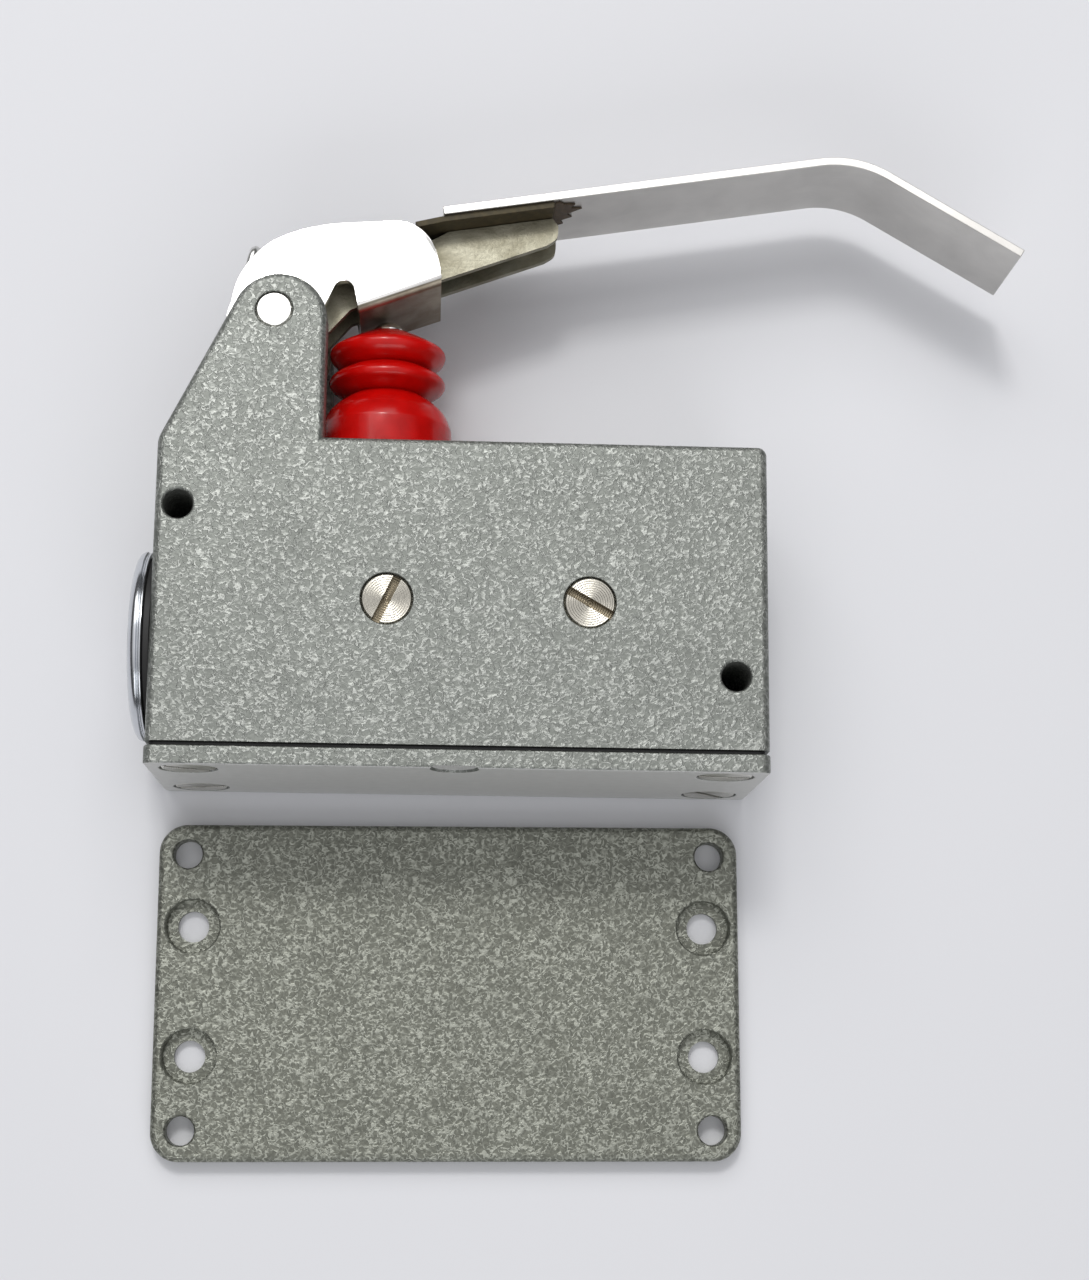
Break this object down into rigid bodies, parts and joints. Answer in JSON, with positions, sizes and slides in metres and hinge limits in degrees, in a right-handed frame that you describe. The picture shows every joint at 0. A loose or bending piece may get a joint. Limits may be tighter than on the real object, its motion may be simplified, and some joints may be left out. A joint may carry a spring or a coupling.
{
  "type": "limit switch",
  "caption": "Enclosed limit switch with a hinged lever, a long bent leaf, a red rubber bellows over the plunger, a snap-action switch inside and a loose mounting plate.",
  "frame": {"origin": "centre of the main rectangle of the housing's rear side face, the face that the switch lies on and the one that its two through holes clamp against a machine", "axes": "+X along the housing, away from the cable entry; +Y towards the lever and away from the base cover; +Z out of the rear side face through the thickness"},
  "size_m": [0.1158, 0.1321, 0.0255],
  "materials": {
    "hammered": "hammered silver-grey stoving paint over a zinc or aluminium die casting",
    "nickel": "bright nickel plate",
    "rough_nickel": "dull nickel plate with a rough, slightly yellow-green surface",
    "aluminium": "plain sheet with fine scratches and sheared edges",
    "steel": "zinc-plated steel",
    "chrome": "polished plate with a satin rim",
    "brass": "plain brass",
    "silver": "silver alloy contact",
    "red_rubber": "glossy red rubber",
    "red_plastic": "moulded red plastic",
    "black_rubber": "matte black rubber",
    "phenolic": "brown-black moulded phenolic",
    "fibre": "grey insulating fibre sheet"
  },
  "bodies": {
    "base": {"housing": "hammered", "base_cover": "hammered", "cover_gasket": "black_rubber", "cover_screw_1": "steel", "cover_screw_2": "steel", "cover_screw_3": "steel", "cover_screw_4": "steel", "side_screw_left": "nickel", "side_screw_right": "nickel", "entry_plug": "chrome", "entry_washer": "black_rubber", "pivot_pin": "nickel", "plunger_bush": "brass", "bellows": "red_rubber", "lever_spring": "steel", "return_spring": "steel", "switch_case": "phenolic", "switch_case_lid": "phenolic", "insulator_rear": "fibre", "insulator_front": "fibre", "terminal_common": "brass", "terminal_normally_closed": "brass", "terminal_normally_open": "brass", "terminal_screw_common": "steel", "terminal_screw_normally_closed": "steel", "terminal_screw_normally_open": "steel", "earth_screw": "steel", "earth_washer": "brass"},
    "lever": {"lever_head": "nickel", "lever_arm": "rough_nickel", "leaf_support": "rough_nickel", "leaf": "aluminium", "leaf_rivet_1": "aluminium", "leaf_rivet_2": "aluminium"},
    "plunger": {"plunger": "nickel", "plunger_clip": "steel", "overtravel_spring": "steel"},
    "button": {"switch_button": "red_plastic", "push_pin": "steel"},
    "blade": {"snap_blade": "brass", "moving_contact": "silver"},
    "loose_plate": {"mounting_plate": "hammered"}
  },
  "joints": [
    {"name": "lever_swing", "type": "hinge", "parent": "base", "child": "lever", "pos_m": [-0.02455, 0.03626, 0.0127], "axis": [0, 0, 1], "range_deg": [-12, 0], "stiffness_Nm_per_rad": 0.6, "springref_deg": 14.32, "deforming": ["lever_spring", "bellows", "return_spring"]},
    {"name": "plunger_travel", "type": "slide", "parent": "base", "child": "plunger", "axis": [0, -1, 0], "range_m": [0, 0.003], "deforming": ["overtravel_spring"]},
    {"name": "button_travel", "type": "slide", "parent": "base", "child": "button", "axis": [0, -1, 0], "range_m": [0, 0.00045]},
    {"name": "contact_snap", "type": "hinge", "parent": "base", "child": "blade", "pos_m": [-0.0173, 0.0042, 0.0127], "axis": [0, 0, 1], "range_deg": [-0.95, 0]},
    {"name": "plate_lift", "type": "slide", "parent": "base", "child": "loose_plate", "axis": [0, 0, 1], "range_m": [0, 0.04]}
  ],
  "couplings": [
    {"joint": "plunger_travel", "follows": "lever_swing", "m_per_rad": -0.0142},
    {"joint": "button_travel", "follows": "lever_swing", "m_per_rad": -0.0021},
    {"joint": "contact_snap", "follows": "lever_swing", "ratio": 0.0785}
  ]
}
